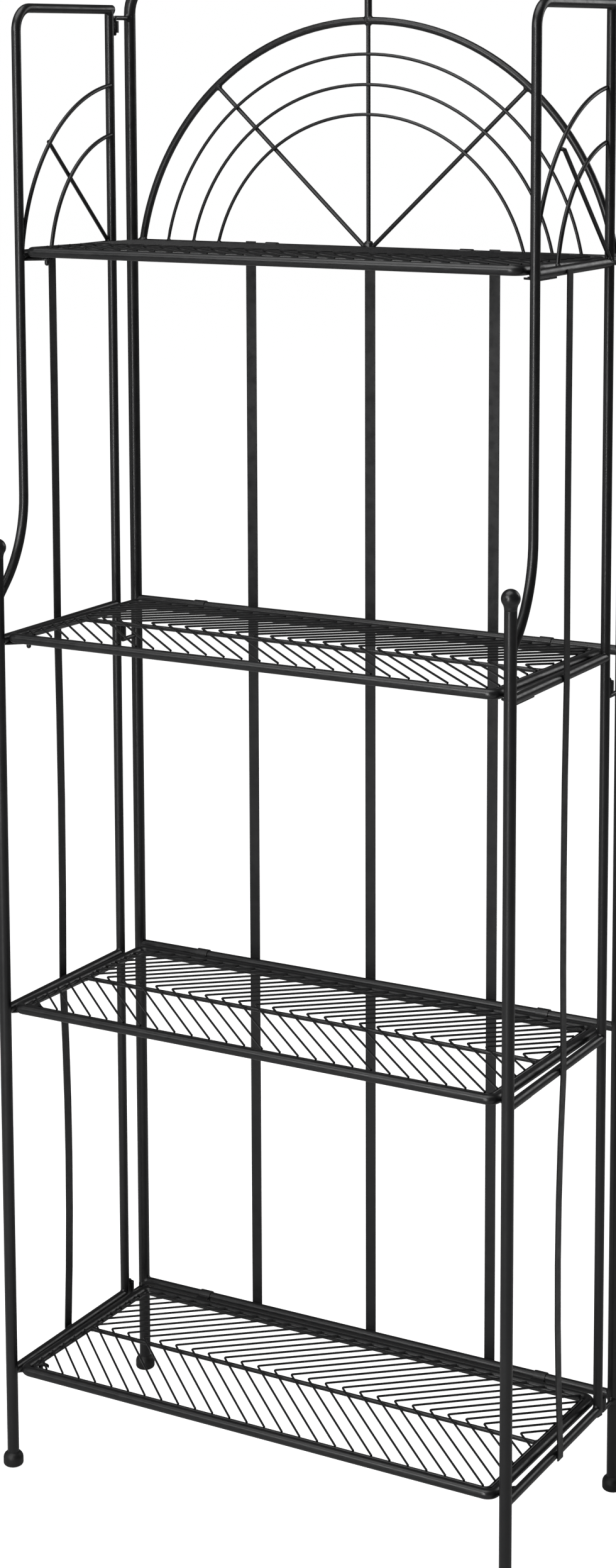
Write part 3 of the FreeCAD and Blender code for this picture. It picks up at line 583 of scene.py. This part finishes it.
def add_neck(work, side):
    post_low, post_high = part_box(f"{side}_front_post")
    radius = (post_high.x - post_low.x) / 2
    centre = Vector(((post_low.x + post_high.x) / 2, (post_low.y + post_high.y) / 2, post_high.z))
    rings = []
    for count in range(NECK_SIDES):
        angle = FULL_TURN * count / NECK_SIDES
        outward = Vector((math.cos(angle), math.sin(angle), 0))
        rings.append([
            centre + radius * (out_share * outward + Vector((0, 0, up_share)))
            for out_share, up_share in NECK_PROFILE_SHARES
        ])
    add_rings(work, rings, closed=True)


# One piece of welds for each body
bodies = frame["record"]["behaviour"]["bodies"]
for body, members in bodies.items():
    trees = {}
    for node_name in members:
        if not node_name.endswith(UNWELDED):
            work = merged(frame["nodes"][node_name].data)
            trees[node_name] = BVHTree.FromBMesh(work)
            work.free()
    welds = bmesh.new()
    for node_name in members:
        if node_name.endswith(UNWELDED + ONLY_BASES):
            continue
        for points, sides, bases in welded_runs(node_name, trees):
            reach = FILLET_SHARE * length_of(points) / FULL_TURN
            reach = min(FILLET_LARGEST, max(FILLET_SMALLEST, reach))
            for ending, larger in LARGER_FILLETS.items():
                if node_name.endswith(ending):
                    reach = larger
            add_fillet(welds, points, sides, bases, reach)
    if body == "back_frame":
        back_slat_beads(welds)
        add_hub(welds)
    for side, sign in SIDES.items():
        if body == f"{side}_side":
            side_beads(welds, side, sign)
            add_fan_tip(welds, side, sign)
            add_neck(welds, side)
    new_piece(f"{body}_welds", welds, body, "rod_coat")


# Floor and world. Each glow is a pair: the light it gives to the rack, and how bright it looks.
WHITE = (1, 1, 1, 1)
FLOOR_SIZE = 40
FLOOR_CORNERS = ((-1, -1), (1, -1), (1, 1), (-1, 1))
FLOOR_COLOUR = (0.5, 0.5, 0.5)
FLOOR_ROUGHNESS = 0.9
FLOOR_SPECULAR = 0.1
FLOOR_GLOW = (0.05, 0.95)
WORLD_GLOW = (0.09, 1.0)


def studio_glow(tree, glow):
    """A strength with one value for the light that falls on the rack and one for the background seen."""
    seen = tree.nodes.new("ShaderNodeLightPath")
    strength = tree.nodes.new("ShaderNodeMapRange")
    strength.inputs["To Min"].default_value, strength.inputs["To Max"].default_value = glow
    tree.links.new(seen.outputs["Is Camera Ray"], strength.inputs["Value"])
    return strength.outputs["Result"]


floor_mesh = bpy.data.meshes.new("floor")
corners = [(x * FLOOR_SIZE / 2, y * FLOOR_SIZE / 2, 0) for x, y in FLOOR_CORNERS]
floor_mesh.from_pydata(corners, [], [range(len(corners))])
floor = bpy.data.objects.new("floor", floor_mesh)
bpy.context.scene.collection.objects.link(floor)
floor_nodes = Nodes("floor_look")
floor_inputs = floor_nodes.shader.inputs
floor_inputs["Base Color"].default_value = (*FLOOR_COLOUR, 1)
floor_inputs["Roughness"].default_value = FLOOR_ROUGHNESS
floor_inputs["Specular IOR Level"].default_value = FLOOR_SPECULAR
floor_inputs["Emission Color"].default_value = WHITE
floor_nodes.link(studio_glow(floor_nodes.tree, FLOOR_GLOW), floor_inputs["Emission Strength"])
floor_mesh.materials.append(floor_nodes.material)

world = bpy.data.worlds.new("studio")
bpy.context.scene.world = world
world.use_nodes = True
backdrop = world.node_tree.nodes["Background"]
backdrop.inputs["Color"].default_value = WHITE
world.node_tree.links.new(studio_glow(world.node_tree, WORLD_GLOW), backdrop.inputs["Strength"])
bpy.context.scene.view_settings.view_transform = "Standard"


# Lights: soft boxes of a width and a height in metres, all aimed at the middle of the rack
LIGHT_TARGET = Vector((0, 0, 0.8))
LIGHTS = {
    "front_softbox": {"place": (-1.0, -3.4, 2.7), "size": (2.0, 1.4), "watts": 55},
    "front_strip": {"place": (0.1, -3.6, 1.2), "size": (0.4, 2.2), "watts": 55},
    "overhead_softbox": {"place": (-0.4, -0.8, 4.2), "size": (3.0, 3.0), "watts": 80},
    "left_fill": {"place": (-3.2, -2.0, 1.4), "size": (2.0, 2.4), "watts": 8},
    "back_softbox": {"place": (1.8, 3.4, 2.4), "size": (1.8, 1.8), "watts": 24},
}


def area_light(name, place, size, watts):
    light = bpy.data.lights.new(name, "AREA")
    light.shape = "RECTANGLE"
    light.size, light.size_y = size
    light.energy = watts
    item = bpy.data.objects.new(name, light)
    item.location = place
    item.rotation_euler = (LIGHT_TARGET - Vector(place)).to_track_quat("-Z", "Y").to_euler()
    bpy.context.scene.collection.objects.link(item)


for light_name, light_values in LIGHTS.items():
    area_light(light_name, **light_values)
